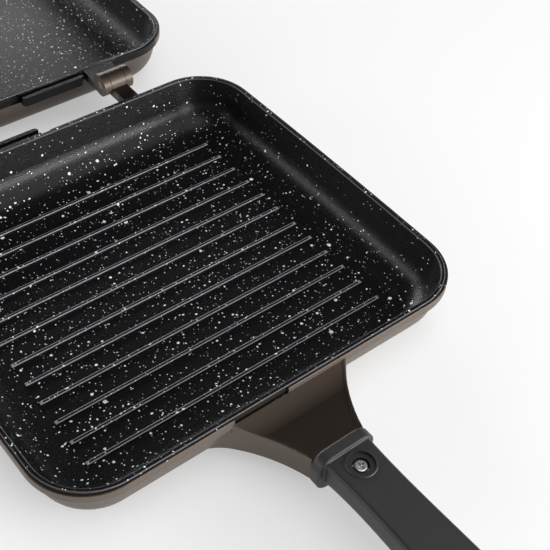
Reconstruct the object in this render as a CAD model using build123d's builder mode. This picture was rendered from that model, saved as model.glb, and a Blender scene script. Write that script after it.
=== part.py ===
from build123d import *

import os
from math import cos, pi, radians, tan

# Double sided flip pan, opened flat: two cast half pans joined by a pair of fork hinges.
# Millimetres, +Z up. The origin is on the table under the middle of the hinge axis. The axis
# runs along X, the near half lies on the -Y side and the far half on the +Y side. Both halves
# come from one mould body: the far half is the near one turned by 180 degrees about Z, with a
# smooth cooking floor in place of the ribbed one.

os.makedirs("parts", exist_ok=True)

# ---------------------------------------------------------------- pan body
rim_height = 33.8               # table to the top of the lip
lip_half_length = 125.3         # middle of the short sides to the pan centre, along X
lip_half_depth = 117.35         # long sides to the pan centre, along Y
side_bow = 1.5                  # how far the short sides bulge outward
lip_corner_radius = 31.0        # inner edge of the lip
lip_width = 2.3                 # coated lip
ledge_width = 1.65              # enamelled step outside the lip
ledge_drop = 0.75               # lip down to the ledge
skirt_height = 6.6              # lip down to the lower edge of the upright skirt
wall_draft = 14.0               # degrees from the vertical
wall_thickness = 3.2
floor_thickness = 4.0
cavity_fillet = 18.0            # wall to floor, inside
edge_round = 0.45               # cast edges of the lip
ledge_bevel = 0.4
mouth_bevel = 45.0              # degrees, at the lip's inner edge
skirt_foot_round = 1.0
side_clearance = 0.3            # between the two castings
place_tolerance = 0.01          # for picking out edges by their place

# ---------------------------------------------------------------- grill ribs
rib_pitch = 15.0
ribs_per_side = 6
middle_gap = 16.8               # between the two middle ribs
rib_length = 191.9
rib_width = 2.7                 # at the floor
rib_height = 1.5
rib_draft = 9.0
rib_round = 0.5

# ---------------------------------------------------------------- hinges
hinge_offset = 141.5            # pan centre to the hinge axis
closed_gap = 0.3                # between the two lips when shut
hinge_middle = 63.1             # hinge axis middle to the middle of each fork, along X
tongue_width = 10.6
prong_width = 4.8
barrel_radius = 7.4
fork_relief = 1.0               # around the tongue's barrel
pin_radius = 2.5
pin_running_clearance = 0.05    # radial, in the tongue
pin_head_radius = 4.4
pin_head_height = 1.5
pin_chamfer = 0.5
ear_drop = 0.4                  # lip down to the top of ears and drip tab

# ---------------------------------------------------------------- drip tab on the hinge side
near_tab_start = 1.6            # from the pan's middle line
far_tab_start = 6.3
tab_length = 44.0
tab_notch_length = 6.5          # ledge left out past the tab's inner end
tab_groove = 2.9                # ledge to the bead
tab_bead = 2.8
tab_groove_depth = 3.0
tab_end_radius = 2.4

# ---------------------------------------------------------------- handle bracket
bracket_drop = 6.1              # lip down to the bracket's top face
bracket_depth = 17.8
bracket_rim_depth = 3.7         # plate that stands proud of the flanks
bracket_step = 0.7              # by this much
bracket_length = 35.7           # skirt to the collar
bracket_flare_half_width = 48.0  # where the flank dies into the pan's wall
bracket_flare_depth = 7.5       # skirt to that point
bracket_root_half_width = 36.0
bracket_waist_half_width = 25.4
bracket_end_half_width = 16.2
bracket_waist = 14.6            # skirt to the point that sets the curve of the flank
bracket_wall = 3.2
bracket_plate = 3.6
bracket_ramp_run = 12.7         # the top face sweeps up to the skirt over this length
bracket_ramp_end = 3.0          # past the skirt's face, inside the rim
bracket_ramp_rise = 4.5         # reached there
bracket_bead = 2.2
bracket_bead_height = 0.5
bracket_crest_round = 1.4
bracket_foot_bevel = 0.8
notch_length = 33.0             # stretch beside the bracket where the ledge is left out
notch_setback = 1.6             # from the pan's middle line
tang_half_width = 6.0
tang_height = 9.0
tang_length = 28.0
tang_bottom = 13.0              # above the table

# ---------------------------------------------------------------- handle
collar_half_width = 17.5
collar_top = 31.2               # above the table
collar_height = 23.4
collar_thickness = 7.0
collar_corner = 8.5
collar_edge_round = 2.0
grip_top = 29.4                 # mating face, above the table
grip_edge_radius = 2.6
grip_end_corner = 11.0          # plan radius at the end of the grip
grip_end_round = 2.5
grip_flare = 0.9                # fillet between collar and grip
collar_heel_round = 0.7
socket_clearance = 0.15
# distance behind the collar, half width, height and lower corner radius of the grip
grip_sections = (
    (0.0, 13.8, 19.4, 8.0),
    (40.0, 13.2, 18.6, 8.4),
    (90.0, 14.2, 20.6, 9.0),
    (131.0, 12.6, 17.0, 8.0),
)
hang_hole_radius = 5.0
hang_hole_inset = 14.0          # from the end of the grip
hang_hole_round = 1.0

# ---------------------------------------------------------------- handle screw and washer
screw_setback = 16.6            # collar front to the screw
screw_radius = 2.0
screw_hole_clearance = 0.25
thread_clearance = 0.05
screw_head_radius = 3.6
screw_head_height = 2.6
screw_head_round = 1.0
screw_tip_chamfer = 0.5
screw_recess_length = 1.9       # cross recess, middle to its ends
screw_recess_depth = 1.2
screw_recess_width = 0.9
screw_tip_gap = 2.0             # screw tip to the tang's underside
washer_radius = 4.0
washer_thickness = 0.8
well_radius = 4.3
seat_thickness = 2.8            # handle wall over the tang
dish_radius = 7.0
dish_depth = 1.0
dish_bead = 1.0                 # raised ring round the dish
dish_bead_height = 0.6
dish_bead_bevel = 0.3

# ---------------------------------------------------------------- magnets
magnet_radius = 5.0
magnet_thickness = 3.0
magnet_from_end = 34.0          # end of the grip to the magnet
magnet_boss_wall = 1.4
magnet_boss_draft = 15.0
magnet_boss_round = 0.6
magnet_chamfer = 0.2
magnet_recess = 0.2             # magnet face below the boss

# ---------------------------------------------------------------- worked out from the above
pan_y = -hinge_offset
axis_height = rim_height + closed_gap / 2
draft_slope = tan(radians(wall_draft))
skirt_grow = lip_width + ledge_width
skirt_bottom = rim_height - skirt_height
cavity_depth = rim_height - floor_thickness
wall_grow = wall_thickness / cos(radians(wall_draft)) - skirt_height * draft_slope
base_fillet = cavity_fillet + wall_thickness
skirt_y = lip_half_depth + skirt_grow
bracket_top = rim_height - bracket_drop
flank_top = skirt_bottom + bracket_bead_height / 2
collar_y = skirt_y + bracket_length
ear_top = rim_height - ear_drop
fork_half_width = tongue_width / 2 + side_clearance + prong_width
tang_top = tang_bottom + tang_height
seat_top = tang_top + socket_clearance + seat_thickness
screw_y = pan_y - collar_y - screw_setback
grip_back = collar_y + collar_thickness
grip_end = grip_back + grip_sections[-1][0]
magnet_y = pan_y - grip_end + magnet_from_end
hang_hole_y = pan_y - grip_end + hang_hole_inset
magnet_top = rim_height - magnet_recess


def pan_plane(height):
    """Horizontal sketch plane through the near pan's centre."""
    return Plane((0, pan_y, height))


def rim_outline(grow, height):
    """Outline of the lip's inner edge, grown outward, with bowed short sides."""
    half_y = lip_half_depth + grow
    middle_x = lip_half_length + grow
    end_x = middle_x - side_bow
    with BuildSketch(pan_plane(height)) as outline:
        with BuildLine():
            Line((-end_x, half_y), (end_x, half_y))
            ThreePointArc((end_x, half_y), (middle_x, 0), (end_x, -half_y))
            Line((end_x, -half_y), (-end_x, -half_y))
            ThreePointArc((-end_x, -half_y), (-middle_x, 0), (-end_x, half_y))
        make_face()
        fillet(outline.vertices(), lip_corner_radius + grow)
    return outline.sketch


def bracket_outline(side_inset, end_inset, height, flared=True):
    """Plan of the bracket: hollow flanks that can flare out under the skirt into the wall."""
    flare = bracket_flare_half_width - side_inset
    root = bracket_root_half_width - side_inset
    waist = bracket_waist_half_width - side_inset
    end = bracket_end_half_width - side_inset
    root_y = -skirt_y
    waist_y = root_y - bracket_waist
    end_y = end_inset - collar_y
    flare_y = root_y + bracket_flare_depth + side_inset
    with BuildSketch(pan_plane(height)) as outline:
        with BuildLine():
            right = ThreePointArc((root, root_y), (waist, waist_y), (end, end_y))
            left = ThreePointArc((-root, root_y), (-waist, waist_y), (-end, end_y))
            Line((end, end_y), (-end, end_y))
            if flared:
                TangentArc((root, root_y), (flare, flare_y), tangent=-(right % 0))
                TangentArc((-root, root_y), (-flare, flare_y), tangent=-(left % 0))
                Line((flare, flare_y), (-flare, flare_y))
            else:
                Line((root, root_y), (root, flare_y))
                Line((-root, root_y), (-root, flare_y))
                Line((root, flare_y), (-root, flare_y))
        make_face()
    return outline.sketch


def half_turn(part):
    """The same piece on the far half."""
    return part.rotate(Axis.Z, 180)


def hinge_plane(x):
    """Plane across the hinge axis, its X along the world's Y and its Y upward."""
    return Plane(origin=(x, 0, axis_height), x_dir=(0, 1, 0), z_dir=(1, 0, 0))


def hinge_arm(x_start, width, overlap):
    """One arm of a hinge: a flat ear from the skirt that ends in a round barrel."""
    length = hinge_offset - skirt_y
    with BuildPart() as arm:
        with BuildSketch(hinge_plane(x_start)) as profile:
            Circle(barrel_radius)
            with Locations((-length - overlap, ear_top - axis_height)):
                Rectangle(length + overlap, ear_top - skirt_bottom, align=(Align.MIN, Align.MAX))
        extrude(amount=width)
    return arm.part


def over_bracket(drop):
    """Everything above the bracket's top face, which sweeps up to the skirt, less the drop."""
    beyond = bracket_flare_depth + bracket_wall
    side = Plane(
        origin=(-bracket_flare_half_width, pan_y - skirt_y, bracket_top - drop),
        x_dir=(0, 1, 0),
        z_dir=(1, 0, 0),
    )
    with BuildPart() as space:
        with BuildSketch(side):
            with BuildLine():
                Line((-collar_y, 0), (-bracket_ramp_run, 0))
                TangentArc(
                    (-bracket_ramp_run, 0),
                    (bracket_ramp_end, bracket_ramp_rise),
                    tangent=(1, 0),
                )
                Line((bracket_ramp_end, bracket_ramp_rise), (beyond, bracket_ramp_rise))
                Line((beyond, bracket_ramp_rise), (beyond, bracket_drop))
                Line((beyond, bracket_drop), (-collar_y, bracket_drop))
                Line((-collar_y, bracket_drop), (-collar_y, 0))
            make_face()
        extrude(amount=2 * bracket_flare_half_width)
    return space.part


def add_drip_tab(body, start):
    """The casting with a drip tab, a bead behind a groove, that begins at start from the middle."""
    with BuildPart() as pan:
        add(body)
        with BuildSketch(pan_plane(skirt_bottom)) as tab_plan:
            with Locations((-start, lip_half_depth + lip_width)):
                Rectangle(
                    tab_length,
                    ledge_width + tab_groove + tab_bead,
                    align=(Align.MAX, Align.MIN),
                )
            fillet(tab_plan.vertices().group_by(Axis.Y)[-1], tab_end_radius)
        extrude(amount=ear_top - skirt_bottom)
        with Locations((-start, pan_y + skirt_y, ear_top)):
            Box(
                tab_length + tab_end_radius / 2,
                tab_groove,
                tab_groove_depth,
                align=(Align.MAX, Align.MIN, Align.MAX),
                mode=Mode.SUBTRACT,
            )
        # The ledge is left out past the tab's inner end.
        with Locations((-start, pan_y + lip_half_depth + lip_width, bracket_top)):
            Box(
                tab_notch_length,
                2 * ledge_width,
                bracket_drop,
                align=(Align.MIN, Align.MIN, Align.MIN),
                mode=Mode.SUBTRACT,
            )
    return pan.part


# ---------------------------------------------------------------- cooking hollow
with BuildPart() as hollow:
    extrude(rim_outline(0, rim_height), amount=-cavity_depth, taper=wall_draft)
    fillet(hollow.edges().group_by(Axis.Z)[0], cavity_fillet)
    # Chamfered mouth, so that the lip has no sharp inner edge.
    extrude(rim_outline(0, rim_height - edge_round), amount=edge_round, taper=-mouth_bevel)

# ---------------------------------------------------------------- handle bracket with its tang
# Shallow recess that leaves a bead along the bracket's edges.
with BuildPart() as bracket_recess:
    add(over_bracket(bracket_bead_height))
    extrude(
        bracket_outline(bracket_bead, bracket_bead, rim_height, flared=False),
        amount=-bracket_drop - bracket_bead_height,
        mode=Mode.INTERSECT,
    )

with BuildPart() as bracket:
    extrude(
        bracket_outline(bracket_step, 0, bracket_top - bracket_depth),
        amount=flank_top - bracket_top + bracket_depth,
    )
    chamfer(bracket.edges().group_by(Axis.Z)[0], bracket_foot_bevel)
    extrude(
        bracket_outline(0, 0, bracket_top + bracket_ramp_rise, flared=False),
        amount=-bracket_ramp_rise - bracket_rim_depth,
    )
    add(over_bracket(0), mode=Mode.SUBTRACT)
    crest = bracket.edges().filter_by(
        lambda edge: edge.center().Z > bracket_top - place_tolerance
        and abs(edge.center().X) > bracket_end_half_width / 2
        and edge.center().Y < pan_y - skirt_y
    )
    fillet(crest, bracket_crest_round)
    add(bracket_recess.part, mode=Mode.SUBTRACT)
    extrude(
        bracket_outline(bracket_wall, bracket_wall, bracket_top - bracket_depth),
        amount=bracket_depth - bracket_plate,
        mode=Mode.SUBTRACT,
    )
    with Locations((0, pan_y - collar_y, tang_bottom)):
        Box(
            2 * tang_half_width,
            bracket_wall + tang_length,
            tang_height,
            align=(Align.CENTER, Align.CENTER, Align.MIN),
        )

# ---------------------------------------------------------------- casting shared by both halves
with BuildPart() as casting:
    extrude(rim_outline(wall_grow, skirt_bottom), amount=-skirt_bottom, taper=wall_draft)
    fillet(casting.edges().group_by(Axis.Z)[0], base_fillet)
    extrude(rim_outline(skirt_grow, skirt_bottom), amount=skirt_height - ledge_drop)
    chamfer(casting.edges().group_by(Axis.Z)[-1], ledge_bevel)
    skirt_foot = casting.edges().filter_by_position(Axis.Z, skirt_bottom, skirt_bottom)
    fillet(skirt_foot, skirt_foot_round)
    extrude(rim_outline(lip_width, rim_height - ledge_drop), amount=ledge_drop)
    fillet(casting.edges().group_by(Axis.Z)[-1], edge_round)
    add(bracket.part)
    # The ledge is left out beside the left half of the bracket.
    with Locations((-notch_setback, pan_y - lip_half_depth - lip_width, bracket_top)):
        Box(
            notch_length,
            ledge_width,
            bracket_drop,
            align=(Align.MAX, Align.MAX, Align.MIN),
            mode=Mode.SUBTRACT,
        )
    # Hinge ears: a tongue on the right, a fork on the left.
    add(hinge_arm(hinge_middle - tongue_width / 2, tongue_width, skirt_grow))
    add(hinge_arm(-hinge_middle - fork_half_width, 2 * fork_half_width, skirt_grow))
    with BuildSketch(hinge_plane(-hinge_middle)):
        with Locations((-barrel_radius - fork_relief, 0)):
            Rectangle(
                hinge_offset,
                4 * barrel_radius,
                align=(Align.MIN, Align.CENTER),
            )
    extrude(amount=fork_half_width - prong_width, both=True, mode=Mode.SUBTRACT)
    with BuildSketch(hinge_plane(-hinge_middle)):
        Circle(pin_radius)
    extrude(amount=2 * fork_half_width, both=True, mode=Mode.SUBTRACT)
    with BuildSketch(hinge_plane(hinge_middle)):
        Circle(pin_radius + pin_running_clearance)
    extrude(amount=tongue_width, both=True, mode=Mode.SUBTRACT)
    add(hollow.part, mode=Mode.SUBTRACT)
    # Tapped hole for the handle screw.
    with Locations((0, screw_y, tang_top)):
        Hole(screw_radius + thread_clearance, depth=tang_height)

# ---------------------------------------------------------------- near half pan, ribbed
with BuildPart() as near_pan:
    add(add_drip_tab(casting.part, near_tab_start))
    with BuildSketch(pan_plane(floor_thickness)):
        for side in (-1, 1):
            for index in range(ribs_per_side):
                with Locations((0, side * (middle_gap / 2 + index * rib_pitch))):
                    Rectangle(rib_length, rib_width)
    extrude(amount=rib_height, taper=rib_draft)
    rib_tops = near_pan.edges().filter_by_position(
        Axis.Z, floor_thickness + rib_height, floor_thickness + rib_height
    )
    fillet(rib_tops, rib_round)

near_pan.part.label = "near_pan"
export_step(near_pan.part, "parts/near_pan.step")

# ---------------------------------------------------------------- far half pan, smooth
far_pan = half_turn(add_drip_tab(casting.part, far_tab_start))
far_pan.label = "far_pan"
export_step(far_pan, "parts/far_pan.step")


def section_plane(y):
    """Upright plane across the handle, its Y upward, looking away from the pan."""
    return Plane(origin=(0, y, 0), x_dir=(1, 0, 0), z_dir=(0, -1, 0))


# ---------------------------------------------------------------- handle
with BuildPart() as near_handle:
    for setback, half_width, height, lower_radius in grip_sections:
        with BuildSketch(section_plane(pan_y - grip_back - setback)) as section:
            with Locations((0, grip_top)):
                Rectangle(2 * half_width, height, align=(Align.CENTER, Align.MAX))
            fillet(section.vertices().group_by(Axis.Y)[-1], grip_edge_radius)
            fillet(section.vertices().group_by(Axis.Y)[0], lower_radius)
    loft()
    # The grip ends round in plan.
    with BuildSketch(Plane((0, pan_y - grip_end, 0))) as grip_plan:
        Rectangle(2 * collar_half_width, grip_end, align=(Align.CENTER, Align.MIN))
        fillet(grip_plan.vertices().group_by(Axis.Y)[0], grip_end_corner)
    extrude(amount=rim_height, mode=Mode.INTERSECT)
    end_edges = near_handle.edges().filter_by(
        lambda edge: edge.center().Y < pan_y - grip_end + grip_end_corner
        and edge.center().Z < grip_top - grip_edge_radius
        and edge.length > grip_end_round
    )
    fillet(end_edges, grip_end_round)
    # Collar, proud of the grip all round.
    with BuildSketch(section_plane(pan_y - collar_y)):
        with Locations((0, collar_top - collar_height / 2)):
            RectangleRounded(2 * collar_half_width, collar_height, collar_corner)
    extrude(amount=collar_thickness)
    collar_rim = near_handle.edges().filter_by(
        lambda edge: edge.center().Y > pan_y - collar_y - place_tolerance
    )
    fillet(collar_rim, collar_edge_round)
    collar_back = near_handle.edges().filter_by(
        lambda edge: abs(edge.center().Y - pan_y + grip_back) < place_tolerance
    )
    grip_foot = collar_back.filter_by(
        lambda edge: abs(edge.center().X) < grip_sections[0][1] + place_tolerance
        and -place_tolerance < grip_top - edge.center().Z < grip_sections[0][2] + place_tolerance
    )
    fillet(grip_foot, grip_flare)
    collar_heel = near_handle.edges().filter_by(
        lambda edge: abs(edge.center().Y - pan_y + grip_back) < place_tolerance
        and (
            abs(edge.center().X) > collar_half_width - collar_corner / 2
            or abs(edge.center().Z - collar_top) < place_tolerance
            or abs(edge.center().Z - collar_top + collar_height) < place_tolerance
        )
    )
    fillet(collar_heel, collar_heel_round)
    # Boss round the magnet.
    with BuildSketch(Plane((0, magnet_y, rim_height))):
        Circle(magnet_radius + magnet_boss_wall)
    extrude(amount=-(rim_height - grip_top), taper=-magnet_boss_draft)
    fillet(near_handle.edges().group_by(Axis.Z)[-1], magnet_boss_round)
    with Locations((0, magnet_y, rim_height)):
        Hole(magnet_radius, depth=magnet_recess + magnet_thickness)
    # Dish and well for the handle screw.
    with BuildSketch(Plane((0, screw_y, grip_top))):
        Circle(dish_radius + dish_bead)
    extrude(amount=dish_bead_height)
    bead_rim = near_handle.edges().filter_by(
        lambda edge: abs(edge.center().Z - grip_top - dish_bead_height) < place_tolerance
    )
    chamfer(bead_rim, dish_bead_bevel)
    with BuildSketch(Plane((0, screw_y, grip_top - dish_depth))):
        Circle(dish_radius)
    extrude(amount=dish_depth + dish_bead_height, mode=Mode.SUBTRACT)
    with Locations((0, screw_y, grip_top)):
        Hole(well_radius, depth=grip_top - seat_top)
        Hole(screw_radius + screw_hole_clearance, depth=grip_top - tang_top)
    # Socket for the tang.
    with Locations((0, pan_y - collar_y, tang_bottom - socket_clearance)):
        Box(
            2 * (tang_half_width + socket_clearance),
            tang_length + socket_clearance,
            tang_height + 2 * socket_clearance,
            align=(Align.CENTER, Align.MAX, Align.MIN),
            mode=Mode.SUBTRACT,
        )
    # Hanging hole.
    with Locations((0, hang_hole_y, grip_top)):
        Hole(hang_hole_radius)
    hole_rims = near_handle.edges().filter_by(
        lambda edge: abs(edge.center().Y - hang_hole_y) < hang_hole_radius
        and abs(edge.center().X) < hang_hole_radius
        and abs(edge.length - 2 * pi * hang_hole_radius) < hang_hole_radius / 2
    )
    fillet(hole_rims, hang_hole_round)

near_handle.part.label = "near_handle"
export_step(near_handle.part, "parts/near_handle.step")

# ---------------------------------------------------------------- handle screw and washer
with BuildPart() as near_handle_washer:
    with BuildSketch(Plane((0, screw_y, seat_top))):
        Circle(washer_radius)
        Circle(screw_radius + screw_hole_clearance, mode=Mode.SUBTRACT)
    extrude(amount=washer_thickness)

with BuildPart() as near_handle_screw:
    with BuildSketch(Plane((0, screw_y, seat_top + washer_thickness))):
        Circle(screw_head_radius)
    extrude(amount=screw_head_height)
    fillet(near_handle_screw.edges().group_by(Axis.Z)[-1], screw_head_round)
    with BuildSketch(Plane((0, screw_y, seat_top + washer_thickness + screw_head_height))):
        Rectangle(2 * screw_recess_length, screw_recess_width)
        Rectangle(screw_recess_width, 2 * screw_recess_length)
    extrude(amount=-screw_recess_depth, mode=Mode.SUBTRACT)
    with BuildSketch(Plane((0, screw_y, tang_bottom + screw_tip_gap))):
        Circle(screw_radius)
    extrude(amount=seat_top + washer_thickness - tang_bottom - screw_tip_gap)
    chamfer(near_handle_screw.edges().group_by(Axis.Z)[0], screw_tip_chamfer)

# ---------------------------------------------------------------- magnet
with BuildPart() as near_magnet:
    with BuildSketch(Plane((0, magnet_y, magnet_top))):
        Circle(magnet_radius)
    extrude(amount=-magnet_thickness)
    chamfer(near_magnet.edges().group_by(Axis.Z)[-1], magnet_chamfer)

# ---------------------------------------------------------------- hinge pin of the near fork
with BuildPart() as left_hinge_pin:
    with BuildSketch(hinge_plane(-hinge_middle - fork_half_width)):
        Circle(pin_radius)
    extrude(amount=2 * fork_half_width)
    chamfer(left_hinge_pin.edges().group_by(Axis.X)[-1], pin_chamfer)
    with BuildSketch(hinge_plane(-hinge_middle - fork_half_width)):
        Circle(pin_head_radius)
    extrude(amount=-pin_head_height)
    fillet(left_hinge_pin.edges().group_by(Axis.X)[0], pin_head_height / 2)

near_pieces = {
    "near_handle_washer": near_handle_washer.part,
    "near_handle_screw": near_handle_screw.part,
    "near_magnet": near_magnet.part,
    "left_hinge_pin": left_hinge_pin.part,
}
far_pieces = {
    "far_handle": half_turn(near_handle.part),
    "far_handle_washer": half_turn(near_handle_washer.part),
    "far_handle_screw": half_turn(near_handle_screw.part),
    "far_magnet": half_turn(near_magnet.part),
    "right_hinge_pin": half_turn(left_hinge_pin.part),
}
for pieces in (near_pieces, far_pieces):
    for name, piece in pieces.items():
        piece.label = name
        export_step(piece, f"parts/{name}.step")
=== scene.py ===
"""Finishes for the double sided flip pan, with a plain studio and the camera.

The castings keep their exact shape. Their material lays a speckled non-stick coating inside
each cooking hollow and a bronze enamel on the rest. Handles, pins, screws, washers and
magnets get moulded plastic, turned steel and nickel.

Lengths are in metres. X runs across the pans, Y from the near handle to the far one, and Z up
from the table. Seen from above, the hinge line is the X axis.
"""
import logging
from dataclasses import dataclass, field
from enum import Enum
from math import radians

import bpy
from mathutils import Euler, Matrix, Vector

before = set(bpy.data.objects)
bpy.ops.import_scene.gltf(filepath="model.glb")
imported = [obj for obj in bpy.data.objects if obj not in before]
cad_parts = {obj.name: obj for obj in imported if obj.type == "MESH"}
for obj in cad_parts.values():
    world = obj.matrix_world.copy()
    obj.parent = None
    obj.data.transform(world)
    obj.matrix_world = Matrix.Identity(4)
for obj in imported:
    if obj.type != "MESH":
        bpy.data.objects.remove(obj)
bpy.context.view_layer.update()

log = logging.getLogger("flip_pan")

MM = 0.001
CRISP = 0.1 * MM
NOISE_MEAN = 0.5

Colour = tuple[float, float, float]
Point = tuple[float, float, float]
Stop = tuple[float, Colour]


class Wire:
    """An output socket that takes part in Python arithmetic through Math nodes."""

    def __init__(self, wiring: "Wiring", socket: bpy.types.NodeSocket) -> None:
        """Wrap one output.

        Args:
            wiring: The node tree that holds the socket.
            socket: The output to wrap.
        """
        self.wiring = wiring
        self.socket = socket

    def __add__(self, other: "Wire | float") -> "Wire":
        """Sum."""
        return self.wiring.math("ADD", self, other)

    __radd__ = __add__

    def __sub__(self, other: "Wire | float") -> "Wire":
        """Difference."""
        return self.wiring.math("SUBTRACT", self, other)

    def __rsub__(self, other: float) -> "Wire":
        """Difference from a number."""
        return self.wiring.math("SUBTRACT", other, self)

    def __mul__(self, other: "Wire | float") -> "Wire":
        """Product."""
        return self.wiring.math("MULTIPLY", self, other)

    __rmul__ = __mul__

    def __truediv__(self, other: "Wire | float") -> "Wire":
        """Quotient."""
        return self.wiring.math("DIVIDE", self, other)

    def __pow__(self, other: float) -> "Wire":
        """Power."""
        return self.wiring.math("POWER", self, other)

    def __abs__(self) -> "Wire":
        """Size without sign."""
        return self.wiring.math("ABSOLUTE", self)

    def least(self, other: "Wire | float") -> "Wire":
        """The smaller of two values."""
        return self.wiring.math("MINIMUM", self, other)

    def most(self, other: "Wire | float") -> "Wire":
        """The larger of two values."""
        return self.wiring.math("MAXIMUM", self, other)

    def above(self, level: "Wire | float", blend: float) -> "Wire":
        """A mask that is 1 above a level.

        Args:
            level: Where the mask passes one half.
            blend: Width of the soft step.

        Returns:
            A wire from 0 to 1.
        """
        rise = (self - level) / blend + 0.5
        return rise.most(0.0).least(1.0)

    def below(self, level: "Wire | float", blend: float) -> "Wire":
        """A mask that is 1 below a level, with a soft step of the given width."""
        return 1.0 - self.above(level, blend)


class Wiring:
    """The node tree of a material or of the world."""

    def __init__(self, owner: bpy.types.Material | bpy.types.World, output: str) -> None:
        """Empty the owner's node tree and give it its output and coordinates.

        Args:
            owner: The material or the world.
            output: Type of its output node.
        """
        owner.use_nodes = True
        self.tree = owner.node_tree
        self.tree.nodes.clear()
        self.output = self.node(output)
        self.coordinates = self.node("ShaderNodeTexCoord").outputs

    def node(
        self,
        kind: str,
        settings: dict[str, object] | None = None,
        inputs: dict[str | int, object] | None = None,
    ) -> bpy.types.Node:
        """Add a node.

        Args:
            kind: The node's type.
            settings: Its own properties, or a ramp's stops, set before its sockets.
            inputs: Values, sockets or wires for its inputs, by name or index.

        Returns:
            The new node.
        """
        made = self.tree.nodes.new(kind)
        for name, value in (settings or {}).items():
            if name == "stops":
                self.set_stops(made.color_ramp, value)
            else:
                setattr(made, name, value)
        for name, value in (inputs or {}).items():
            self.feed(made.inputs[name], value)
        return made

    @staticmethod
    def set_stops(ramp: bpy.types.ColorRamp, stops: tuple[Stop, ...]) -> None:
        """Place the stops of a new ramp.

        Args:
            ramp: The ramp, with as many stops as are given.
            stops: The place and colour of each.
        """
        for element, (place, colour) in zip(ramp.elements, stops, strict=True):
            element.position = place
            element.color = (*colour, 1.0)

    def feed(self, target: bpy.types.NodeSocket, value: object) -> None:
        """Give an input its value or its link.

        Args:
            target: The input.
            value: A wire, a socket, a number or a tuple.
        """
        if isinstance(value, Wire):
            value = value.socket
        if isinstance(value, bpy.types.NodeSocket):
            self.tree.links.new(value, target)
        elif isinstance(value, tuple) and target.type == "RGBA":
            target.default_value = (*value, 1.0)
        else:
            target.default_value = value

    def show(self, shader: bpy.types.Node) -> None:
        """Connect a shader to the output."""
        self.feed(self.output.inputs[0], shader.outputs[0])

    def math(self, operation: str, *values: Wire | float) -> Wire:
        """Add a Math node on values and give its result."""
        made = self.node("ShaderNodeMath", {"operation": operation}, dict(enumerate(values)))
        return Wire(self, made.outputs[0])

    def mix(self, factor: Wire, below: object, above: object) -> bpy.types.NodeSocket:
        """Mix two colours.

        Args:
            factor: 0 for the first, 1 for the second.
            below: First colour or socket.
            above: Second colour or socket.

        Returns:
            The mixed colour's socket.
        """
        made = self.node("ShaderNodeMix", {"data_type": "RGBA"})
        sockets = [s for s in made.inputs if s.enabled]
        for socket, value in zip(sockets, (factor, below, above)):
            self.feed(socket, value)
        return next(s for s in made.outputs if s.enabled)

    def split(self, vector: bpy.types.NodeSocket) -> tuple[Wire, Wire, Wire]:
        """The three values of a vector socket."""
        made = self.node("ShaderNodeSeparateXYZ", inputs={0: vector})
        return tuple(Wire(self, s) for s in made.outputs)


class Detail(Enum):
    """How many finer layers a noise has."""

    NONE = 0.0
    LIGHT = 1.0
    FINE = 2.0


class Finish(Wiring):
    """One material, on the coordinates of the object that wears it."""

    def __init__(self, name: str) -> None:
        """Start a material with nothing but its output and coordinates.

        Args:
            name: Name of the material.
        """
        self.material = bpy.data.materials.new(name)
        super().__init__(self.material, "ShaderNodeOutputMaterial")
        self.place = self.coordinates["Object"]

    def clouds(self, size: float, detail: Detail) -> bpy.types.Node:
        """Add a noise texture.

        Args:
            size: Size of its grains.
            detail: Its finer layers.

        Returns:
            The noise node.
        """
        return self.node(
            "ShaderNodeTexNoise",
            inputs={"Vector": self.place, "Scale": 1 / size, "Detail": detail.value},
        )

    def noise(self, size: float, detail: Detail) -> Wire:
        """The values of a noise texture, with its grains' size and its finer layers."""
        return Wire(self, self.clouds(size, detail).outputs[0])

    def relief(self, height: Wire, depth: float) -> bpy.types.NodeSocket:
        """Normals of a fine relief.

        Args:
            height: Height from 0 to 1.
            depth: Its full depth.

        Returns:
            The normal socket.
        """
        made = self.node("ShaderNodeBump", inputs={"Height": height, "Distance": depth})
        return made.outputs[0]

    def surface(self, **inputs: object) -> None:
        """Show a Principled surface, with its inputs named by underscores."""
        named = {name.replace("_", " "): value for name, value in inputs.items()}
        self.show(self.node("ShaderNodeBsdfPrincipled", inputs=named))


class Side(Enum):
    """The two halves of the opened pan, with the sign of their place along Y."""

    NEAR = -1
    FAR = 1

    @property
    def word(self) -> str:
        """The half's name in the names of its nodes."""
        return self.name.lower()


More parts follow.
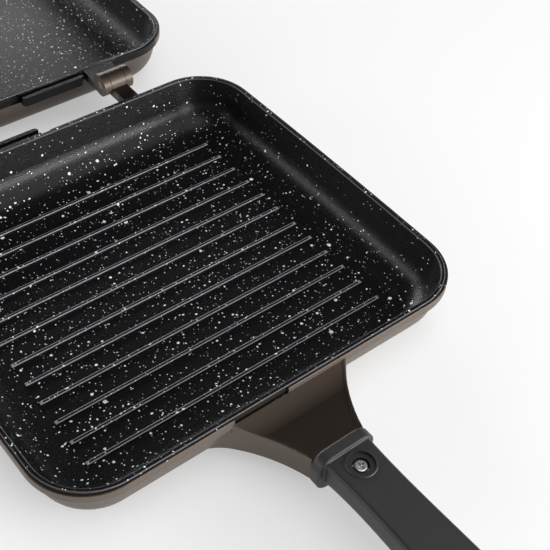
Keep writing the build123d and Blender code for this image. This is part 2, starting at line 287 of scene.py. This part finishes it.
@dataclass(frozen=True)
class Rim:
    """Plan and heights of the casting's rim, which bound its two finishes.

    Attributes:
        centre: Distance of the hollow's middle from the hinge line.
        half_length: Half the hollow's length inside the lip, across the pan's middle.
        half_depth: Half the hollow's depth inside the lip.
        bow: How far the two sides draw in from their middles to their ends.
        corner: Radius of the lip's inner corners.
        lip: Width of the raised lip.
        ledge: Width of the ledge outside the lip.
        top: Height of the lip above the table.
        ledge_drop: Depth of the ledge below the lip.
        lip_foot: Share of that depth that the coating runs down the lip's outside.
        overrun: How far the coating passes the lip.
        inner_edge: Half width of the painted highlight on the lip's inner edge.
        outer_edge: Half width of the painted highlight on the lip's outer edge.
        edge_blend: Soft step of that painted highlight.
        hinge_start: Distance from the hinge line at which its black rim starts.
        hinge_end: Distance from it at which that rim ends, inside the lip.
        hinge_blend: Soft step of that end.
        skirt_foot: Height of the skirt's lower edge.
        skirt_blend: Soft step of the black rim there.
        recess_rise: How far above the skirt's lower edge the painted shade of the recess starts.
    """

    centre: float = 141.5 * MM
    half_length: float = 125.3 * MM
    half_depth: float = 117.35 * MM
    bow: float = 1.5 * MM
    corner: float = 31.0 * MM
    lip: float = 2.3 * MM
    ledge: float = 1.65 * MM
    top: float = 33.8 * MM
    ledge_drop: float = 0.75 * MM
    lip_foot: float = 0.9
    overrun: float = 0.15 * MM
    inner_edge: float = 0.32 * MM
    outer_edge: float = 0.256 * MM
    edge_blend: float = 0.15 * MM
    hinge_start: float = 14.3 * MM
    hinge_end: float = 26.0 * MM
    hinge_blend: float = 0.3 * MM
    skirt_foot: float = 27.2 * MM
    skirt_blend: float = 0.2 * MM
    recess_rise: float = 0.7 * MM

    def distance(self, finish: Finish, side: Side) -> Wire:
        """How far a point lies outside the lip's inner edge, in plan.

        Args:
            finish: The finish that asks.
            side: The half it is for.

        Returns:
            A wire, negative inside the hollow.
        """
        x, y, _ = finish.split(finish.place)
        across = abs(y - side.value * self.centre)
        side_x = self.half_length - self.bow * (across / self.half_depth) ** 2.0
        past_x = abs(x) - (side_x - self.corner)
        past_y = across - (self.half_depth - self.corner)
        round_part = (past_x.most(0.0) ** 2.0 + past_y.most(0.0) ** 2.0) ** 0.5
        return round_part + past_x.most(past_y).least(0.0) - self.corner

    def on_lip(self, height: Wire) -> Wire:
        """A mask of the raised lip, by its height above the table."""
        return height.above(self.top - self.lip_foot * self.ledge_drop, CRISP)

    def within_lip(self, outside: Wire) -> Wire:
        """A mask in plan of the hollow and the lip, by distance outside the inner edge."""
        return outside.below(self.lip + self.overrun, CRISP)

    def within_ledge(self, outside: Wire) -> Wire:
        """A mask in plan of the hollow, the lip and the ledge."""
        return outside.below(self.lip + self.ledge, CRISP)

    def painted_recess_shade(self, outside: Wire, height: Wire) -> Wire:
        """The wall where the ledge is left out beside the bracket, which gets painted shade.

        Args:
            outside: Distance outside the lip's inner edge.
            height: Height above the table.

        Returns:
            A wire that is 1 there.
        """
        return self.within_lip(outside) * height.above(self.skirt_foot + self.recess_rise, CRISP)

    def highlight_edges(self, outside: Wire, height: Wire) -> Wire:
        """The lip's inner and outer edges, which get a pale painted highlight.

        Args:
            outside: Distance outside the lip's inner edge.
            height: Height above the table.

        Returns:
            A wire that is 1 on both edges.
        """
        inner = abs(outside).below(self.inner_edge, self.edge_blend)
        outer = abs(outside - self.lip).below(self.outer_edge, self.edge_blend)
        return inner.most(outer) * height.above(self.top - self.ledge_drop, CRISP)

    def hinge_edge(self, finish: Finish, height: Wire) -> Wire:
        """The upright rim beside the hinge, with its tab, which is coated black.

        Args:
            finish: The finish that asks.
            height: Height above the table.

        Returns:
            A wire that is 1 there.
        """
        _, y, _ = finish.split(finish.place)
        away = abs(y)
        zone = away.above(self.hinge_start, CRISP) * away.below(self.hinge_end, self.hinge_blend)
        return zone * height.above(self.skirt_foot, self.skirt_blend)


@dataclass(frozen=True)
class Ribs:
    """The straight ribs on the near half's floor.

    Attributes:
        centre: Distance of the ribs' middle from the hinge line.
        middle_gap: Distance between the two middle ribs.
        pitch: Distance between all other neighbours.
        length: Length of a rib.
        half_top: Half the width of a rib's rounded top.
        foot: Height of the cooking floor above the table.
        height: Height of a rib above the floor.
        bright_share: Share of that height where the painted highlight starts.
        line: Width of the painted highlight along an edge.
        wall_gap: Distance inside the lip where a rib can't reach.
        wall_blend: Soft step there.
    """

    centre: float = 141.5 * MM
    middle_gap: float = 16.8 * MM
    pitch: float = 15.0 * MM
    length: float = 191.9 * MM
    half_top: float = 1.11 * MM
    foot: float = 4.0 * MM
    height: float = 1.5 * MM
    bright_share: float = 0.78
    line: float = 0.55 * MM
    wall_gap: float = 20.0 * MM
    wall_blend: float = 1.0 * MM

    def highlight_edges(self, finish: Finish, outside: Wire) -> Wire:
        """Both long edges and the ends of each rib's top, which get a pale painted highlight.

        Args:
            finish: The finish that asks.
            outside: Distance outside the lip's inner edge.

        Returns:
            A wire that is 1 on an edge.
        """
        x, y, z = finish.split(finish.place)
        count = (abs(y + self.centre) - self.middle_gap / 2) / self.pitch
        across = abs(count - finish.math("ROUND", count)) * self.pitch
        sides = across.above(self.half_top - self.line, CRISP)
        ends = abs(x).above(self.length / 2 - self.height - self.line, CRISP)
        raised = z.above(self.foot + self.bright_share * self.height, CRISP)
        return sides.most(ends) * raised * outside.below(-self.wall_gap, self.wall_blend)


@dataclass(frozen=True)
class Splash:
    """One size of the specks that are splashed on the coating.

    Attributes:
        cell: Size of the cells, each of which may hold one speck.
        smallest: Least radius of a speck.
        largest: Greatest radius of a speck.
        share: Share of the cells that hold one, before they are gathered into groups.
        turn: How far the cells are turned, in radians.
        stretch: Scale along Y that makes a speck oval.
        shares: Shares of the turn about X, Y and Z.
        small_bias: Power that makes small specks more common than large ones.
        border: Soft border of a speck.
        dice_blend: Soft step of the choice of cells.
    """

    cell: float
    smallest: float
    largest: float
    share: float
    turn: float
    stretch: float = 1.0
    shares: Point = (0.4, 0.7, 1.0)
    small_bias: float = 2.0
    border: float = 0.12 * MM
    dice_blend: float = 0.001

    def mask(self, finish: Finish, wobble: bpy.types.NodeSocket, crowd: Wire) -> Wire:
        """Where these specks lie.

        Args:
            finish: The finish that asks.
            wobble: Coordinates whose small waves make the specks uneven.
            crowd: A wire about 1 that gathers the specks into groups.

        Returns:
            A wire that is 1 on a speck.
        """
        turned = finish.node(
            "ShaderNodeMapping",
            inputs={
                "Vector": wobble,
                "Rotation": tuple(share * self.turn for share in self.shares),
                "Scale": (1.0, self.stretch, 1.0),
            },
        )
        cells = finish.node(
            "ShaderNodeTexVoronoi",
            inputs={"Vector": turned.outputs[0], "Scale": 1 / self.cell, "Randomness": 1.0},
        )
        size_dice, share_dice, _ = finish.split(cells.outputs["Color"])
        radius = self.smallest + (self.largest - self.smallest) * size_dice**self.small_bias
        middle = Wire(finish, cells.outputs["Distance"]) * self.cell
        chosen = share_dice.below(self.share * crowd, self.dice_blend)
        return middle.below(radius, self.border) * chosen


@dataclass(frozen=True)
class NonStick:
    """Satin black coating with off-white specks of mixed size.

    Attributes:
        black: Colour of the coating.
        speck: Colour of the specks.
        painted_highlight: Pale colour painted on the edges as a painted highlight.
        highlight_cover: How much of that colour shows at most.
        lip_cover: How much of that shows on the lip.
        roughness: Roughness of the coating.
        speck_roughness: What a speck adds to it.
        grain_roughness: How far the grain varies it.
        shine: Specular level of the casting's finishes.
        grain: Size of the grain.
        grain_height: Share of the relief's depth that the grain takes.
        speck_height: Share of it by which a speck stands proud.
        large: Radius above which a speck stays off the lip.
        lip_gap: How far inside the lip's edge such a speck stays.
        wave: Size of the waves that make the specks uneven.
        wave_depth: How far these waves shift a speck's border.
        crowd: Size of the groups in which the specks lie.
        crowd_gain: How strongly they are grouped.
        crowd_base: What is added to that.
        wall_share: Share of the specks that an upright wall catches.
        floor_share: What a level floor catches besides.
        wall_facing: Level and blend of facing up between the two.
        stray: Size of the patches of stray specks on the ledge.
        stray_level: Level and blend of their noise.
        splashes: The sizes of specks.
    """

    black: Colour = (0.0035, 0.0035, 0.0040)
    speck: Colour = (0.96, 0.95, 0.92)
    painted_highlight: Colour = (0.30, 0.30, 0.33)
    highlight_cover: float = 0.9
    lip_cover: float = 0.35
    roughness: float = 0.30
    speck_roughness: float = 0.1
    grain_roughness: float = 0.3
    shine: float = 0.24
    grain: float = 0.8 * MM
    grain_height: float = 0.7
    speck_height: float = 0.05
    large: float = 1.0 * MM
    lip_gap: float = 2.0 * MM
    wave: float = 1.1 * MM
    wave_depth: float = 0.7 * MM
    crowd: float = 22.0 * MM
    crowd_gain: float = 2.4
    crowd_base: float = -0.2
    wall_share: float = 0.25
    floor_share: float = 0.8
    wall_facing: tuple[float, float] = (0.65, 0.7)
    stray: float = 9.0 * MM
    stray_level: tuple[float, float] = (0.6, 0.02)
    splashes: tuple[Splash, ...] = (
        Splash(cell=9.0 * MM, smallest=0.80 * MM, largest=1.35 * MM, share=0.40, turn=0.6),
        Splash(
            cell=4.8 * MM,
            smallest=0.40 * MM,
            largest=0.85 * MM,
            share=0.48,
            turn=2.1,
            stretch=1.35,
        ),
        Splash(
            cell=2.5 * MM,
            smallest=0.26 * MM,
            largest=0.52 * MM,
            share=0.50,
            turn=3.9,
            stretch=0.8,
        ),
        Splash(cell=1.7 * MM, smallest=0.18 * MM, largest=0.33 * MM, share=0.42, turn=5.2),
    )

    def specks(self, finish: Finish, facing: Wire, outside: Wire) -> Wire:
        """Where any speck lies.

        Args:
            finish: The finish that asks.
            facing: How far the surface faces up, because steep walls catch fewer specks.
            outside: Distance outside the lip's inner edge, which no large speck passes.

        Returns:
            A wire that is 1 on a speck.
        """
        waves = finish.clouds(self.wave, Detail.LIGHT)
        wobble = finish.node(
            "ShaderNodeVectorMath",
            {"operation": "MULTIPLY_ADD"},
            {0: waves.outputs["Color"], 1: (self.wave_depth,) * 3, 2: finish.place},
        )
        crowd = finish.noise(self.crowd, Detail.FINE) * self.crowd_gain + self.crowd_base
        caught = self.wall_share + self.floor_share * facing.above(*self.wall_facing)
        crowd = crowd * caught
        found: Wire | None = None
        for splash in self.splashes:
            mask = splash.mask(finish, wobble.outputs[0], crowd)
            if splash.largest > self.large:
                mask = mask * outside.below(-self.lip_gap, self.large)
            found = mask if found is None else found.most(mask)
        return found

    def strays(self, finish: Finish) -> Wire:
        """A mask of the patches where a few specks land outside the lip."""
        return finish.noise(self.stray, Detail.NONE).above(*self.stray_level)

    def colour(self, finish: Finish, painted_highlight: Wire) -> bpy.types.NodeSocket:
        """The coating's colour, with a pale painted highlight on the edges."""
        return finish.mix(painted_highlight * self.highlight_cover, self.black, self.painted_highlight)


@dataclass(frozen=True)
class BronzeEnamel:
    """Metallic bronze enamel on the outside of the castings.

    Attributes:
        light: Colour of the bright flakes.
        dark: Colour between them.
        painted_top_shade: Darker colour painted on the faces that look up, as painted shade.
        painted_recess_shade: Colour of the wall beside the bracket, darkened as painted shade.
        roughness: Roughness of the enamel.
        metallic: How metallic its sides are. The painted shade on the upward faces is fully
            metallic.
        flake: Size of the flakes.
        flake_share: Share of the flakes in the colour's changes; slow flow has the rest.
        flow: Size of the slow changes.
        top_facing: Level and blend of facing up for the painted shade.
        top_shade_cover: How much of the painted shade shows at most.
        peel: Size of the waves in the enamel's skin.
        peel_height: Share of the relief's depth that they take.
    """

    light: Colour = (0.138, 0.114, 0.094)
    dark: Colour = (0.098, 0.080, 0.066)
    painted_top_shade: Colour = (0.037, 0.0275, 0.0215)
    painted_recess_shade: Colour = (0.030, 0.024, 0.018)
    roughness: float = 0.42
    metallic: float = 0.35
    flake: float = 0.35 * MM
    flake_share: float = 0.7
    flow: float = 30.0 * MM
    top_facing: tuple[float, float] = (0.6, 0.5)
    top_shade_cover: float = 0.9
    peel: float = 1.6 * MM
    peel_height: float = 0.1

    def top(self, facing: Wire) -> Wire:
        """How much painted shade lies on a face, by how far it faces up."""
        return facing.above(*self.top_facing) * self.top_shade_cover

    def colour(self, finish: Finish, top: Wire, painted_recess_shade: Wire) -> bpy.types.NodeSocket:
        """The enamel's colour.

        Args:
            finish: The finish that asks.
            top: How much painted shade lies on it.
            painted_recess_shade: 1 on the wall beside the bracket that gets painted shade.

        Returns:
            The colour's socket.
        """
        flakes = finish.noise(self.flake, Detail.LIGHT)
        flow = finish.noise(self.flow, Detail.FINE)
        tone = flakes * self.flake_share + flow * (1.0 - self.flake_share)
        bronze = finish.mix(tone, self.dark, self.light)
        # painted shade: faces that look up take a darker colour
        bronze = finish.mix(top, bronze, self.painted_top_shade)
        # painted shade on the recessed wall beside the bracket
        return finish.mix(painted_recess_shade, bronze, self.painted_recess_shade)


@dataclass
class HalfPan:
    """One half: its casting and the finishes that show on it.

    Attributes:
        side: Which half it is.
        rim: The borders of its finishes.
        ribs: The ribs on its floor, which only the near half has.
        coating: The finish inside.
        enamel: The finish outside.
        upward: Level and blend of facing up from which a face belongs to the hollow.
        relief: Depth of the finest relief on both finishes.
    """

    side: Side
    rim: Rim = field(default_factory=Rim)
    ribs: Ribs = field(default_factory=Ribs)
    coating: NonStick = field(default_factory=NonStick)
    enamel: BronzeEnamel = field(default_factory=BronzeEnamel)
    upward: tuple[float, float] = (0.08, 0.08)
    relief: float = 0.22 * MM

    def painted_highlight(self, finish: Finish, outside: Wire, height: Wire) -> Wire:
        """Where a pale painted highlight lies on the edges of the lip and the ribs.

        Args:
            finish: The finish that asks.
            outside: Distance outside the lip's inner edge.
            height: Height above the table.

        Returns:
            A wire that is 1 where the painted highlight is strongest.
        """
        lip = self.rim.highlight_edges(outside, height) * self.coating.lip_cover
        if self.side is Side.NEAR:
            return lip.most(self.ribs.highlight_edges(finish, outside))
        return lip

    def casting_finish(self) -> Finish:
        """Coating in the hollow and on the lip, enamel elsewhere.

        Returns:
            The finish for this half's casting.
        """
        coating, enamel, rim = self.coating, self.enamel, self.rim
        finish = Finish(f"{self.side.word}_casting")
        _, _, facing = finish.split(finish.coordinates["Normal"])
        _, _, height = finish.split(finish.place)
        outside = rim.distance(finish, self.side)
        upward = facing.above(*self.upward)

        hollow = rim.within_lip(outside) * upward.most(rim.on_lip(height))
        ledge = rim.within_ledge(outside) * upward
        specks = coating.specks(finish, facing, outside)
        specks = specks * hollow.most(ledge * coating.strays(finish))
        coated = hollow.most(rim.hinge_edge(finish, height))
        # painted shade on the enamel's upward faces, which also turn fully metallic
        top = enamel.top(facing)

        # painted highlight: pale lines on the edges of the lip and the ribs
        black = coating.colour(finish, self.painted_highlight(finish, outside, height))
        # the enamel carries painted shade in the recess beside the bracket
        bronze = enamel.colour(finish, top, rim.painted_recess_shade(outside, height))
        base = finish.mix(coated, bronze, black)

        peel = finish.noise(enamel.peel, Detail.LIGHT)
        grain = finish.noise(coating.grain, Detail.LIGHT)
        relief = peel * (1.0 - coated) * enamel.peel_height
        relief = relief + grain * coated * coating.grain_height
        relief = relief + specks * coating.speck_height
        roughness = enamel.roughness + (coating.roughness - enamel.roughness) * coated
        roughness = roughness + specks * coating.speck_roughness
        roughness = roughness + (grain - NOISE_MEAN) * coated * coating.grain_roughness
        bare = (1.0 - coated) * (1.0 - specks)
        finish.surface(
            Base_Color=finish.mix(specks, base, coating.speck),
            Metallic=bare * (enamel.metallic + (1.0 - enamel.metallic) * top),
            Roughness=roughness,
            Specular_IOR_Level=coating.shine,
            Normal=finish.relief(relief, self.relief),
        )
        return finish

    def dress(self) -> None:
        """Give the casting its finish."""
        dress(f"{self.side.word}_pan", self.casting_finish())


@dataclass(frozen=True)
class HandlePlastic:
    """Soft black heat-proof plastic with a fine spark-eroded grain.

    Attributes:
        black: Its darker colour.
        grey: Its paler colour.
        cloud: Size of the patches of the two.
        roughness: Mean roughness.
        swing: How far the grain varies it.
        grain: Size of the grain.
        depth: Depth of the grain.
    """

    black: Colour = (0.010, 0.010, 0.011)
    grey: Colour = (0.016, 0.016, 0.017)
    cloud: float = 18.0 * MM
    roughness: float = 0.45
    swing: float = 0.2
    grain: float = 0.45 * MM
    depth: float = 0.06 * MM

    def finish(self) -> Finish:
        """Make the plastic's material.

        Returns:
            The finish of both handles.
        """
        finish = Finish("handle_plastic_grain")
        grain = finish.noise(self.grain, Detail.FINE)
        cloud = finish.noise(self.cloud, Detail.FINE)
        finish.surface(
            Base_Color=finish.mix(cloud, self.black, self.grey),
            Roughness=self.roughness + (grain - NOISE_MEAN) * self.swing,
            Normal=finish.relief(grain, self.depth),
        )
        return finish


@dataclass(frozen=True)
class Metal:
    """A bare or plated metal with fine turning marks.

    Attributes:
        name: Name of its material.
        colour: Its colour.
        roughness: Mean roughness.
        shade: Share of its colour's brightness in the marks.
        swing: How far the marks vary the roughness.
        marks: Size of the marks.
        depth: Depth of the marks.
    """

    name: str
    colour: Colour
    roughness: float
    shade: float = 0.8
    swing: float = 0.12
    marks: float = 0.25 * MM
    depth: float = 0.01 * MM

    def finish(self) -> Finish:
        """Make the metal's material.

        Returns:
            The finish of its fittings.
        """
        finish = Finish(self.name)
        marks = finish.noise(self.marks, Detail.FINE)
        shaded = tuple(self.shade * channel for channel in self.colour)
        finish.surface(
            Base_Color=finish.mix(marks, shaded, self.colour),
            Metallic=1.0,
            Roughness=self.roughness + (marks - NOISE_MEAN) * self.swing,
            Normal=finish.relief(marks, self.depth),
        )
        return finish


def dress(node: str, finish: Finish) -> None:
    """Put a finish on every slot of a node.

    Args:
        node: Name of the node.
        finish: The finish.
    """
    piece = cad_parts[node]
    for slot in piece.material_slots:
        slot.material = finish.material
    log.info("%s: %s", node, finish.material.name)


@dataclass
class Fittings:
    """Handles, screws, washers, magnets and hinge pins.

    Attributes:
        plastic: The finish of the handles.
        steel: The finish of the screws, washers and pins.
        nickel: The finish of the magnets.
    """

    plastic: HandlePlastic = field(default_factory=HandlePlastic)
    steel: Metal = Metal("turned_steel", (0.60, 0.59, 0.57), 0.28)
    nickel: Metal = Metal("nickel_plate", (0.66, 0.63, 0.58), 0.18)

    def dress(self) -> None:
        """Give each fitting its finish."""
        plastic, steel, nickel = self.plastic.finish(), self.steel.finish(), self.nickel.finish()
        for side in Side:
            dress(f"{side.word}_handle", plastic)
            dress(f"{side.word}_handle_screw", steel)
            dress(f"{side.word}_handle_washer", steel)
            dress(f"{side.word}_magnet", nickel)
        for pin in ("left_hinge_pin", "right_hinge_pin"):
            dress(pin, steel)


@dataclass(frozen=True)
class SoftBox:
    """A large soft lamp that looks at the pan.

    Attributes:
        name: Name of the lamp.
        direction: Where it hangs, seen from the pan.
        width: Width of its face.
        height: Height of its face.
        power: Its power in watts.
        distance: Its distance from the pan.
    """

    name: str
    direction: Point
    width: float
    height: float
    power: float
    distance: float = 1.5

    def light(self, target: Vector) -> None:
        """Hang the lamp.

        Args:
            target: The point it looks at.
        """
        lamp = bpy.data.lights.new(self.name, "AREA")
        lamp.shape = "RECTANGLE"
        lamp.size = self.width
        lamp.size_y = self.height
        lamp.energy = self.power
        box = bpy.data.objects.new(self.name, lamp)
        way = Vector(self.direction).normalized()
        box.location = target + self.distance * way
        box.rotation_euler = way.to_track_quat("Z", "Y").to_euler()
        bpy.context.scene.collection.objects.link(box)


@dataclass
class Studio:
    """Floor, lamps, surroundings and camera.

    Attributes:
        target: The point the lamps look at.
        camera_place: Place of the camera.
        camera_turn: Its turn about X, Y and Z in degrees.
        lens: Its focal length in millimetres.
        sensor: Width of its sensor in millimetres.
        nearest: The nearest distance it shows.
        floor_size: Length of the floor's sides.
        floor_drop: Depth of the floor below the pan's feet.
        floor_colour: Colour of the floor.
        near_white: Share of plain white that the camera sees near the pan.
        lit: Distance from the hinge's middle, and blend, at which that share goes up to 1.
        white: Colour of that white.
        sky: Colours of the surroundings by height, pale low down and dim overhead.
        boxes: The lamps.
    """

    target: Point = (0.0, -0.1415, 0.02)
    camera_place: Point = (-0.22138, -0.49749, 0.44250)
    camera_turn: Point = (44.1102, -2.9118, -38.1721)
    lens: float = 69.26
    sensor: float = 36.0
    nearest: float = 0.01
    floor_size: float = 12.0
    floor_drop: float = 0.0002
    floor_colour: Colour = (0.90, 0.90, 0.90)
    near_white: float = 0.4
    lit: float = 1.3
    white: Colour = (1.0, 1.0, 1.0)
    sky: tuple[Stop, ...] = ((0.06, (1.0, 1.0, 1.0)), (0.36, (0.09, 0.09, 0.10)))
    boxes: tuple[SoftBox, ...] = (
        SoftBox("front_box", (0.42, -0.84, 0.22), width=1.6, height=0.45, power=32.0),
        SoftBox("back_box", (0.05, 0.92, 0.22), width=1.7, height=0.4, power=17.0),
        SoftBox("left_box", (-0.82, 0.52, 0.22), width=0.8, height=0.6, power=7.0),
        SoftBox("top_box", (0.22, -0.42, 1.0), width=1.7, height=1.7, power=14.0),
    )

    def floor(self) -> None:
        """Lay the pale floor, which keeps the object's shadow."""
        bpy.ops.object.select_all(action="DESELECT")
        bpy.ops.mesh.primitive_plane_add(size=self.floor_size, location=(0, 0, -self.floor_drop))
        plane = bpy.context.object
        plane.name = "floor"
        plane.data.materials.append(self.floor_finish().material)

    def floor_finish(self) -> Finish:
        """A matt floor that the camera, and gloss, see as partly plain white.

        Returns:
            The floor's finish.
        """
        finish = Finish("pale_floor")
        path = finish.node("ShaderNodeLightPath").outputs
        rays = ("Is Camera Ray", "Is Glossy Ray", "Is Transmission Ray")
        camera, glossy, transmission = (Wire(finish, path[ray]) for ray in rays)
        shown = camera.most(glossy).most(transmission)
        x, y, _ = finish.split(finish.place)
        away = (x**2.0 + y**2.0) ** 0.5
        white = self.near_white + (1.0 - self.near_white) * away.above(self.lit, self.lit)
        matt = finish.node("ShaderNodeBsdfDiffuse", inputs={"Color": self.floor_colour})
        glow = finish.node("ShaderNodeEmission", inputs={"Color": self.white, "Strength": 1.0})
        factor = shown * white
        both = {0: factor, 1: matt.outputs[0], 2: glow.outputs[0]}
        finish.show(finish.node("ShaderNodeMixShader", inputs=both))
        return finish

    def surroundings(self) -> None:
        """Light the world: pale low down and dim overhead."""
        world = bpy.data.worlds.new("surroundings")
        bpy.context.scene.world = world
        wiring = Wiring(world, "ShaderNodeOutputWorld")
        _, _, height = wiring.split(wiring.coordinates["Generated"])
        ramp = wiring.node("ShaderNodeValToRGB", {"stops": self.sky}, {0: height})
        wiring.show(wiring.node("ShaderNodeBackground", inputs={0: ramp.outputs[0]}))

    def camera(self) -> None:
        """Set up the camera."""
        data = bpy.data.cameras.new("camera")
        data.lens = self.lens
        data.sensor_width = self.sensor
        data.clip_start = self.nearest
        eye = bpy.data.objects.new("camera", data)
        eye.location = self.camera_place
        eye.rotation_euler = Euler([radians(angle) for angle in self.camera_turn])
        bpy.context.scene.collection.objects.link(eye)
        bpy.context.scene.camera = eye

    def build(self) -> None:
        """Build the whole studio."""
        self.floor()
        self.surroundings()
        self.camera()
        for box in self.boxes:
            box.light(Vector(self.target))
        bpy.context.scene.view_settings.view_transform = "Standard"


def main() -> None:
    """Dress both halves and their fittings, then light them."""
    logging.basicConfig(level=logging.INFO)
    for side in Side:
        HalfPan(side).dress()
    Fittings().dress()
    Studio().build()


if __name__ == "__main__":
    main()
